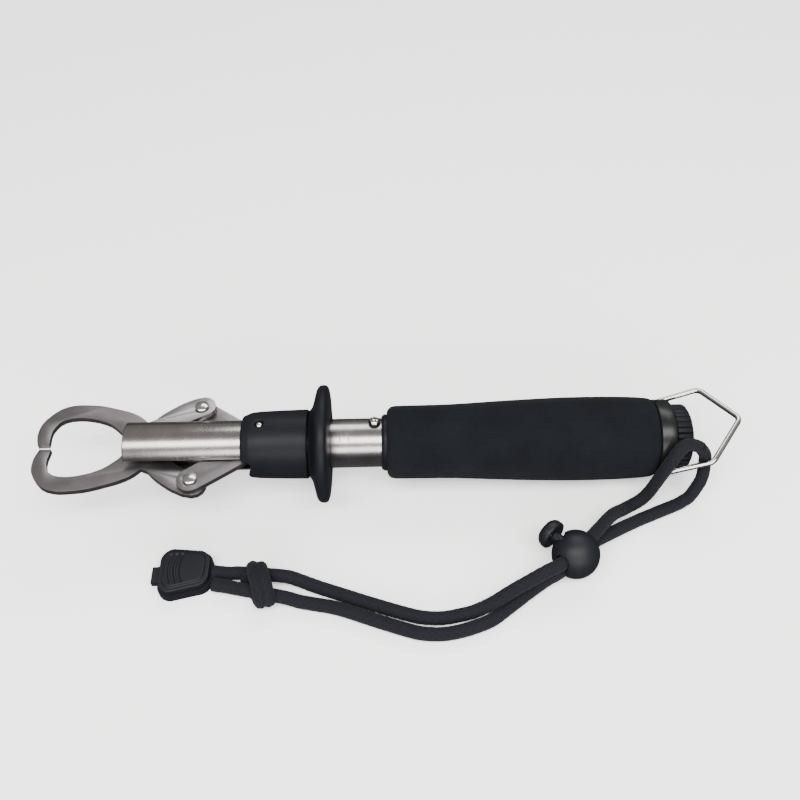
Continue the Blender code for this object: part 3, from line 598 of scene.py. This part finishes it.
LEFT_ROUTE = (
    [
        (0.0921, -0.0228, CORD_REST), (0.0908, -0.0234, CORD_REST), (0.0875, -0.0258, 0.0040),
        (0.0815, -0.0310, 0.0080),
    ],
    [
        (0.0540, -0.0545, 0.0108), (0.0470, -0.0575, 0.0096), (0.0400, -0.0603, 0.0078),
        (0.0330, -0.0630, 0.0052),
    ],
    [
        (0.0262, -0.0646, 0.0030), (0.0212, -0.0654, CORD_REST), (0.0154, -0.0661, CORD_REST),
        (0.0098, -0.0657, CORD_REST), (0.0042, -0.0643, CORD_REST),
        (-0.0072, -0.0600, CORD_REST), (-0.0217, -0.0540, CORD_REST),
        (-0.0305, -0.0503, CORD_REST), (-0.0364, -0.0478, 0.0032), (-0.0422, -0.0462, 0.0042),
    ],
)

RIGHT_ROUTE = (
    [
        (0.1109, -0.0236, 0.0033), (0.1090, -0.0242, 0.0028), (0.0990, -0.0278, CORD_REST),
        (0.0920, -0.0305, CORD_REST), (0.0840, -0.0345, 0.0036),
    ],
    [(0.0540, -0.0547, 0.0051), (0.0480, -0.0578, 0.0035), (0.0400, -0.0630, CORD_REST)],
    [
        (0.0330, -0.0678, CORD_REST), (0.0270, -0.0701, CORD_REST), (0.0209, -0.0716, CORD_REST),
        (0.0152, -0.0722, CORD_REST), (0.0096, -0.0718, CORD_REST), (0.0040, -0.0704, CORD_REST),
        (-0.0072, -0.0660, CORD_REST), (-0.0216, -0.0600, CORD_REST),
        (-0.0302, -0.0576, CORD_REST), (-0.0360, -0.0563, 0.0030), (-0.0422, -0.0546, 0.0040),
    ],
)

END_LEFT_ROUTE = [(-0.0580, -0.0435, 0.0036), (-0.0625, -0.0433, 0.0036), (-0.0682, -0.0423, 0.0036)]
END_RIGHT_ROUTE = [(-0.0582, -0.0500, 0.0036), (-0.0622, -0.0489, 0.0036), (-0.0679, -0.0476, 0.0036)]
BAIL_CROSSING = 9


def strand_through_lock(side):
    along = Vector((math.cos(LOCK_HEADING), math.sin(LOCK_HEADING), 0))
    middle = LOCK_PLACE + Vector((0, 0, side * STRAND_LIFT))
    return [middle - along * LOCK_REACH, middle, middle + along * LOCK_REACH]


def strand_route(route, side):
    before, after, rest = route
    return before + list(reversed(strand_through_lock(side))) + after + rest


def knot_piece():
    """The wraps of the doubled overhand knot, over the two strands that pass through it."""
    turn = Matrix.Translation(KNOT_PLACE) @ Matrix.Rotation(math.radians(8), 4, "Z")
    count = 40
    turns = 2.15
    points = []
    for i in range(count + 1):
        t = i / count
        angle = math.radians(-60) + 2 * math.pi * turns * t
        tuck = min(1.0, 0.35 + 5 * t, 0.35 + 5 * (1 - t))
        along = 0.0033 - 0.0062 * t
        lean = -0.0017 * math.cos(angle)
        y = 0.0073 * math.cos(angle) * tuck
        z = 0.0027 * math.sin(angle) * tuck
        points.append(turn @ Vector((along + lean, y, z)))
    path = smooth_path(points, PATH_STEP)
    return tube("knot", path, 0.0024, relief=0.00012)


def lanyard_cords():
    """One cord doubled through the bail, as two pieces that meet at the top of the loop.
    At the bail's limits the loop cuts the grip and the wire."""
    relief = 0.00010
    left = list(reversed(BIGHT_ROUTE[:BAIL_CROSSING + 1])) + strand_route(LEFT_ROUTE, 1)
    right = BIGHT_ROUTE[BAIL_CROSSING:] + strand_route(RIGHT_ROUTE, -1)
    cords = []
    left_nodes = ("lanyard_bight", "lanyard_strand_left", "lanyard_end_left")
    right_nodes = ("lanyard_strand_right", "lanyard_end_right")
    for name, route, tail, nodes in (
        ("cord_left", left, END_LEFT_ROUTE, left_nodes),
        ("cord_right", right, END_RIGHT_ROUTE, right_nodes),
    ):
        path = smooth_path(route + tail, PATH_STEP)
        item = dressed(tube(name, path, CORD_RADIUS, relief=relief), "black_cord", None, *nodes)
        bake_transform(item)
        cords.append((item, path))
    return cords


add_camera()
CORDS = lanyard_cords()
KNOT = dressed(knot_piece(), "black_cord", "handle", "lanyard_knot")


# ---------------------------------------------------------------- cord lock and cord end

def stadium(front, rear, radius):
    """Outline around both strands in the lock's XZ plane, stretched from front to rear along X."""
    return (
        arc((rear, STRAND_LIFT), radius, 0, 90, 10)
        + arc((front, STRAND_LIFT), radius, 90, 180, 10)
        + arc((front, -STRAND_LIFT), radius, 180, 270, 10)
        + arc((rear, -STRAND_LIFT), radius, 270, 360, 10)
    )


def lock_pieces():
    """The ball with its strand bores, and the plunger with its round head and moulding spur."""
    place = LOCK_FRAME
    side_on = place @ Matrix.Rotation(math.pi / 2, 4, "X")
    shape = bmesh.new()
    bmesh.ops.create_uvsphere(shape, u_segments=96, v_segments=48, radius=LOCK_RADIUS)
    bmesh.ops.transform(shape, matrix=place, verts=shape.verts)
    ball = finished("lock_ball", shape)
    strand = CORD_RADIUS + 0.0004
    well = strand + 0.0010 + GAP
    tongue = 0.0048 + 2 * GAP
    cut(ball, [
        slab(stadium(-0.0018, 2 * LOCK_RADIUS, well), -tongue / 2, tongue / 2, side_on),
        slab(stadium(0, 0, strand), -2 * LOCK_RADIUS, 2 * LOCK_RADIUS, side_on),
        lathe([(-0.0079, 0.0), (-0.0079, 0.0022), (-0.0050, 0.0022), (-0.0050, 0.0)], 32, place),
    ])
    softened(ball, 0.00026, 3)
    dressed(ball, "grey_plastic", "handle", "cord_lock_body")
    head = [
        (0.0104, 0.0), (0.0104, 0.0048), (0.0106, 0.0054), (0.0111, 0.0057), (0.0124, 0.0057),
        (0.0134, 0.0055), (0.0142, 0.0050), (0.0149, 0.0042), (0.0154, 0.0028), (0.0156, 0.0012),
        (0.0156, 0.0),
    ]
    tab = slab(stadium(0, 0.0025, strand + 0.0010), -0.0024, 0.0024, side_on)
    plunger = finished("lock_plunger", tab)
    neck = lathe([(0.0050, 0.0), (0.0050, 0.0023), (0.0110, 0.0023), (0.0110, 0.0)], 32, place)
    cut(plunger, [neck, lathe(head, 64, place)], "UNION")
    cut(plunger, [slab(stadium(0, 0.0018, strand), -0.01, 0.01, side_on)])
    softened(plunger, 0.00026, 2)
    dressed(plunger, "grey_plastic", "lock_plunger", "cord_lock_plunger")
    spur_place = place @ Matrix.Translation((0.0101, 0.0030, 0.0040))
    thorn = [(-0.0004, 0.0), (-0.0004, 0.0007), (0.0010, 0.0005), (0.0022, 0.0002), (0.0024, 0.0)]
    spur = finished("lock_spur", lathe(thorn, 20, spur_place))
    return [ball, plunger, spur]


def rounded_tapered(length, width, rear_width, radius):
    """Outline of a rounded plate whose +X end is narrower."""
    half = length / 2
    wide = width / 2
    narrow = rear_width / 2
    points = arc((half - radius, -narrow + radius), radius, -90, 0, 12)
    points += arc((half - radius, narrow - radius), radius, 0, 90, 12)
    points += arc((-half + radius, wide - radius), radius, 90, 180, 12)
    points += arc((-half + radius, -wide + radius), radius, 180, 270, 12)
    return points


def cord_end_pieces():
    """The clamp on the cord's ends: a rounded tray with a tab, and a cover with curved finger ridges."""
    place = Matrix.Translation((-0.0787, -0.0416, 0)) @ Matrix.Rotation(math.radians(1.5), 4, "Z")
    tray = slab(rounded_tapered(0.0196, 0.0194, 0.0164, 0.0052), 0.0001, 0.0031, place)
    base = finished("clamp_base", bevelled(tray, 0.0009, 4))
    tab = bevelled(brick((-0.0125, -0.0030, 0.0005), (-0.0080, 0.0036, 0.0029), place), 0.0006, 3)
    cut(base, [tab], "UNION")
    dressed(base, "grey_plastic", "handle", "cord_end_base")
    lid = slab(rounded_tapered(0.0182, 0.0180, 0.0150, 0.0048), 0.0034, 0.0059, place)
    cover = finished("clamp_cover", bevelled(lid, 0.0008, 4))
    raised = slab(rounded_tapered(0.0150, 0.0146, 0.0118, 0.0036), 0.0046, 0.0068, place)
    cut(cover, [bevelled(raised, 0.0009, 4)], "UNION")
    grooves = []
    bend = 0.0130
    for centre in (0.0060, 0.0081, 0.0102):
        outer = arc((centre, 0), bend, 152, 208, 16)
        inner = arc((centre + 0.0012, 0), bend, 208, 152, 16)
        grooves.append(slab(outer + inner, 0.0062, 0.0080, place))
    cut(cover, grooves)
    softened(cover, 0.00022, 2)
    dressed(cover, "grey_plastic", "handle", "cord_end_cover")
    return [base, cover]


def spring_piece(node, place, ends, radius, turns, wire):
    """A coil spring along X of place, laid between the two given ends."""
    low, high = ends
    points = []
    for i in range(turns * 24 + 1):
        share = i / (turns * 24)
        along = low + (high - low) * (share - math.sin(2 * math.pi * share) / (2 * math.pi) * 0.7)
        angle = 2 * math.pi * turns * share
        points.append(place @ Vector((along, radius * math.cos(angle), radius * math.sin(angle))))
    spring = dressed(tube(node + "_wire", points, wire, 10), "spring_steel", None, node)
    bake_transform(spring)
    return spring


LOCK_SPRING = spring_piece(
    "cord_lock_spring", LOCK_FRAME, (-0.0076, -0.0043), 0.0016, 2, 0.0003
)
LOCK_BALL, LOCK_PLUNGER, LOCK_SPUR = lock_pieces()
dressed(LOCK_SPUR, "grey_plastic", "lock_plunger")
CLAMP_BASE, CLAMP_COVER = cord_end_pieces()


# ---------------------------------------------------------------- tool

BARREL_RADIUS = 0.0095
BARREL_BORE = 0.0075
SLEEVE_BORE = BARREL_RADIUS + 0.0004
PLATE = 0.0023
TRIGGER_PIN_X = 0.0430
STOP_SCREW_X = 0.0862
STOP_SCREW_TURN = math.radians(-12)
BAIL_X = 0.1998
BAIL_RAISED = math.radians(19.1)
SCREW_SEAT = (
    TOOL @ Matrix.Translation((STOP_SCREW_X, 0, 0)) @ Matrix.Rotation(STOP_SCREW_TURN, 4, "X")
)


def barrel_piece():
    profile = [
        (-0.0074, BARREL_BORE + 0.0002), (-0.0074, BARREL_RADIUS - 0.0004),
        (-0.0072, BARREL_RADIUS - 0.0001), (-0.0069, BARREL_RADIUS), (0.1560, BARREL_RADIUS),
        (0.1560, BARREL_BORE), (-0.0072, BARREL_BORE),
    ]
    tubing = finished("barrel", lathe(profile))
    reach = 0.02
    cut(tubing, [
        brick((-0.02, -reach, -0.0029), (0.0468, reach, 0.0029)),
        brick((0.0411, -0.0018, -reach), (0.0514, 0.0018, reach)),
        pin(0.0016, 0.0, reach, SCREW_SEAT),
    ])
    dressed(tubing, "brushed_steel", "barrel", "barrel_tube")


def sleeve_piece():
    profile = [
        (0.0359, SLEEVE_BORE), (0.0359, 0.0106), (0.0362, 0.0110), (0.0367, 0.0114), (0.0380, 0.0119),
        (0.0392, 0.0124), (0.0422, 0.0128), (0.0490, 0.0131), (0.0570, 0.0133), (0.0604, 0.0134),
        (0.0609, 0.0132), (0.0610, 0.0129), (0.0610, SLEEVE_BORE),
    ]
    sleeve = finished("sleeve", lathe(profile))
    slot = PLATE + 3 * GAP
    reach = 0.026
    cut(sleeve, [
        brick((0.0350, -reach, -reach), (0.0386, reach, slot)),
        brick((0.0350, -reach, -slot), (0.0396, reach, slot)),
        pin(0.0017, -reach, reach, TOOL @ Matrix.Translation((TRIGGER_PIN_X, 0, 0))),
    ])
    softened(sleeve, 0.00032, 4)
    dressed(sleeve, "black_nylon", "trigger", "trigger_sleeve")


def flange_piece():
    profile = [
        (0.0613, SLEEVE_BORE), (0.0613, 0.0129), (0.0616, 0.0132), (0.0619, 0.0136), (0.0623, 0.0143),
        (0.0627, 0.0153), (0.0631, 0.0166), (0.0635, 0.0181), (0.0639, 0.0197), (0.0643, 0.0211),
        (0.0648, 0.0220), (0.0656, 0.0226), (0.0668, 0.0228), (0.0674, 0.0227), (0.0680, 0.0225),
        (0.0685, 0.0218), (0.0688, 0.0208), (0.0690, 0.0196), (0.0694, 0.0150),
        (0.0694, SLEEVE_BORE + 0.0003), (0.0691, SLEEVE_BORE),
    ]
    dressed(finished("flange", lathe(profile, 160), 50), "black_nylon", "trigger", "finger_flange")


def grip_piece():
    bore = 0.0113
    front = [
        (0.0910, bore), (0.0910, 0.0117), (0.0912, 0.0124), (0.0916, 0.0130), (0.0923, 0.0137),
        (0.0932, 0.0140),
    ]
    shape = [
        (0.0944, 0.0142), (0.1030, 0.0143), (0.1160, 0.0145), (0.1280, 0.0151), (0.1400, 0.0157),
        (0.1520, 0.0162), (0.1640, 0.0165), (0.1770, 0.0165), (0.1880, 0.0162), (0.1935, 0.0158),
    ]
    body = [(p.x, p.y) for p in smooth_path([(x, r, 0) for x, r in shape], 0.0030)]
    rear = [(0.1948, 0.0156), (0.1956, 0.0153), (0.1961, 0.0148), (0.1962, 0.0142), (0.1962, bore)]
    dressed(finished("grip", lathe(front + body + rear), 50), "black_foam", "handle", "foam_grip")


def cap_piece():
    ring = 0.1965
    profile = [
        (0.1823, 0.0029), (0.1823, 0.0096), (ring, 0.0096), (ring, 0.0144), (ring + 0.0002, 0.0148),
        (ring + 0.0006, 0.0150), (0.2019, 0.0150), (0.2024, 0.0148), (0.2027, 0.0146), (0.2028, 0.0142),
        (0.2028, 0.0074), (0.1948, 0.0074), (0.1948, 0.0029),
    ]
    cap = finished("cap", lathe(profile))
    for side in (1, -1):
        place = TOOL @ Matrix.Translation((BAIL_X, 0, 0)) @ Matrix.Rotation(-side * math.pi / 2, 4, "X")
        cut(cap, [pin(0.0031, 0.0120, 0.0161, place)], "UNION")
        cut(cap, [pin(0.0014, 0.0125, 0.0200, place)])
    dressed(cap, "black_gloss", "handle", "butt_cap")


def knob_piece():
    """Ribbed knob; the ribs are rounded lands with narrow grooves, and fade out at the domed rear."""
    depth = 0.0007
    ribs = 32
    full = 0.0130
    ribs_start, ribs_end = 0.2032, 0.2102

    def groove(angle, along):
        if not ribs_start < along < ribs_end:
            return 0
        wave = abs(math.sin(ribs * angle / 2))
        return depth * (min(1.0, wave * 1.7) - 1)

    profile = [
        (0.2003, 0.0), (0.2003, 0.0070), (0.2039, 0.0070), (0.2039, 0.0115), (0.2034, 0.0120),
        (0.2034, full - 0.0003), (0.2036, full), (0.2088, full), (0.2092, full - 0.0002),
        (0.2095, full - 0.0006), (0.2098, full - 0.0011), (0.2103, full - 0.0019),
        (0.2107, full - 0.0030), (0.2110, full - 0.0044), (0.2110, 0.0),
    ]
    knob = finished("knob", lathe(profile, ribs * 8, swell=groove), 45)
    dressed(knob, "black_nylon", "knob", "zero_knob")


def fillet(corner, before, after, radius, steps):
    """Points of the arc that rounds a corner between its two neighbours."""
    first = (before - corner).normalized()
    second = (after - corner).normalized()
    half = first.angle(second) / 2
    centre = corner + (first + second).normalized() * (radius / math.sin(half))
    start = corner + first * (radius / math.tan(half)) - centre
    end = corner + second * (radius / math.tan(half)) - centre
    sweep = start.angle(end)
    points = []
    for i in range(steps + 1):
        t = i / steps
        spoke = start * math.sin((1 - t) * sweep) + end * math.sin(t * sweep)
        points.append(centre + spoke / math.sin(sweep))
    return points


def bail_piece():
    half = 0.0175
    place = TOOL @ Matrix.Translation((BAIL_X, 0, 0)) @ Matrix.Rotation(-BAIL_RAISED, 4, "Y")
    corners = [Vector(c) for c in (
        (0, -0.0132, 0), (0, -half, 0), (0.0172, -half, 0), (0.0322, 0, 0),
        (0.0202, half + 0.0016, 0), (0, half, 0), (0, 0.0132, 0),
    )]
    points = [corners[0]]
    for i, radius in enumerate((0.0014, 0.0040, 0.0030, 0.0040, 0.0014), start=1):
        points += fillet(corners[i], corners[i - 1], corners[i + 1], radius, 14)
    points.append(corners[-1])
    wire = tube("bail", [place @ p for p in points], 0.0011, 20)
    dressed(wire, "bright_steel", "bail", "bail_wire")


def screw_piece():
    place = SCREW_SEAT @ Matrix.Rotation(-math.pi / 2, 4, "Y")
    head = 0.0023
    profile = [
        (0.0079, 0.0), (0.0079, 0.0013), (0.0098, 0.0013), (0.0098, head - 0.0002), (0.0100, head),
        (0.0105, head), (0.0110, head - 0.0002), (0.0114, head - 0.0007), (0.0117, head - 0.0013),
        (0.0118, 0.0),
    ]
    screw = finished("screw", lathe(profile, 48, place))
    spot = SCREW_SEAT @ Matrix.Rotation(math.radians(28), 4, "Z")
    cut(screw, [
        brick((-0.0013, -0.00025, 0.0112), (0.0013, 0.00025, 0.0130), spot),
        brick((-0.00025, -0.0013, 0.0112), (0.00025, 0.0013, 0.0130), spot),
    ])
    dressed(screw, "bright_steel", "barrel", "stop_screw")


def pin_piece():
    """The trigger's cross pin, with a slightly domed head at each end."""
    place = TOOL @ Matrix.Translation((TRIGGER_PIN_X, 0, 0)) @ Matrix.Rotation(-math.pi / 2, 4, "Y")
    half = [(0.0118, 0.0014), (0.0121, 0.0013), (0.0124, 0.0010), (0.0126, 0.0005), (0.0126, 0.0)]
    profile = [(-along, radius) for along, radius in reversed(half)] + half
    cross_pin = finished("trigger_pin_round", lathe(profile, 40, place), 60)
    dressed(cross_pin, "bright_steel", "trigger", "trigger_pin")


def scale_marks():
    """Engraved weight marks, filled dark: two in the open and the rest hidden by the handle at rest."""
    shape = bmesh.new()
    outer = BARREL_RADIUS + 0.00003
    width = 0.00011
    corners = ((-width, 1), (width, 1), (width, 0.994), (-width, 0.994))
    for index, along in enumerate([0.0731, 0.0764] + [0.0925 + 0.0033 * i for i in range(9)]):
        reach = 9 if index % 5 == 2 else 5
        rows = []
        for step in range(7):
            angle = math.radians(90 - 31 - reach + 2 * reach * step / 6)
            y = -outer * math.cos(angle)
            z = outer * math.sin(angle)
            points = [Vector((along + w, y * f, z * f)) for w, f in corners]
            rows.append([shape.verts.new(TOOL @ point) for point in points])
        for first, second in zip(rows, rows[1:]):
            for i in range(4):
                k = (i + 1) % 4
                shape.faces.new((first[i], first[k], second[k], second[i]))
        shape.faces.new(rows[0])
        shape.faces.new(rows[-1])
    dressed(finished("scale_marks", shape), "black_nylon", "barrel")


barrel_piece()
sleeve_piece()
flange_piece()
grip_piece()
cap_piece()
knob_piece()
bail_piece()
screw_piece()
pin_piece()
spring_piece("trigger_spring", TOOL, (0.0517, 0.0711), 0.0055, 7, 0.0005)
spring_piece("scale_spring", TOOL, (0.0832, 0.1488), 0.0050, 11, 0.0008)
scale_marks()
for side in ("right", "left"):
    dressed(refined("jaw_" + side, 0.00035), "satin_steel", side + "_jaw", "jaw_" + side)
    dressed(refined("link_" + side, 0.00030), "satin_steel", side + "_link", "link_" + side)
    rivet = "link_rivet_" + side
    dressed(refined(rivet, 0.00012, 2), "bright_steel", side + "_jaw", rivet)

for entry in frame["record"]["subparts"]:
    node = NODES[entry["node"]]
    if not node.hide_render:
        node.data.materials.clear()
        node.data.materials.append(LOOKS[entry["material_slot"]])
        node.data.shade_smooth()

add_world()
add_stage()
